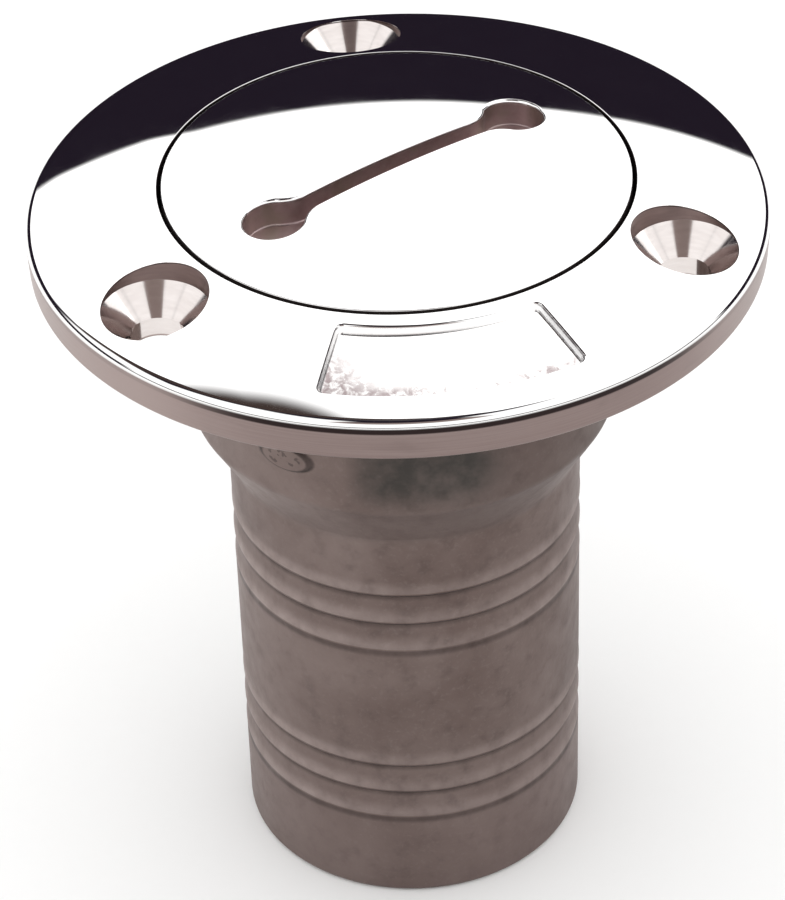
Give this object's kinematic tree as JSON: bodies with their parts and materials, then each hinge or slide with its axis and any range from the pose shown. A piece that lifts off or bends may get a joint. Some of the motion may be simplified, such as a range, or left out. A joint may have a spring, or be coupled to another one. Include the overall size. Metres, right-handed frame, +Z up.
{
  "type": "deck fill cap",
  "caption": "Round domed deck fill fitting with a flush screw-in key cap, countersunk screw holes, a blank label recess and a barbed hose spigot.",
  "frame": {"origin": "on the fitting's axis in the plane of the flange's flat underside, which is the deck surface", "axes": "+Z up out of the deck along the axis, the blank label recess towards -Y, one screw hole towards +Y"},
  "size_m": [0.0762, 0.0761, 0.0848],
  "materials": {
    "cast_stainless": "investment casting: flange top polished bright, rim band satin, neck and hose tube left as cast",
    "polished_stainless": "mirror-polished stainless top, satin floor in the key recess",
    "seal_rubber": "matt black nitrile",
    "fastener_steel": "bright stainless",
    "chain_steel": "bright stainless ball chain"
  },
  "bodies": {
    "housing": {"deck_body": "cast_stainless", "wall_eye_pin": "fastener_steel", "wall_split_ring": "chain_steel", "wall_chain_cup": "chain_steel", "wall_leg_balls": "chain_steel", "wall_leg_links": "chain_steel"},
    "tether": {"swivel_eyelet": "fastener_steel", "cap_split_ring": "chain_steel", "cap_chain_cup": "chain_steel", "cap_leg_balls": "chain_steel", "cap_leg_links": "chain_steel"},
    "cap": {"fill_cap": "polished_stainless", "cap_o_ring": "seal_rubber", "swivel_screw": "fastener_steel", "swivel_washer": "fastener_steel"},
    "chain_loop": {"loop_balls": "chain_steel", "loop_links": "chain_steel"}
  },
  "joints": [
    {"name": "cap_rise", "type": "slide", "parent": "housing", "child": "tether", "axis": [0, 0, 1], "range_m": [0, 0.009]},
    {"name": "cap_turn", "type": "hinge", "parent": "tether", "child": "cap", "pos_m": [0, 0, 0], "axis": [0, 0, 1], "range_deg": [0, 1080]},
    {"name": "chain_swing", "type": "hinge", "parent": "housing", "child": "chain_loop", "pos_m": [-0.0145, 0, -0.0337], "axis": [0, -1, 0], "range_deg": [0, 26.01]}
  ],
  "couplings": [
    {"joint": "cap_rise", "follows": "cap_turn", "m_per_rad": 0.00047746},
    {"joint": "chain_swing", "follows": "cap_turn", "ratio": 0.024079}
  ]
}
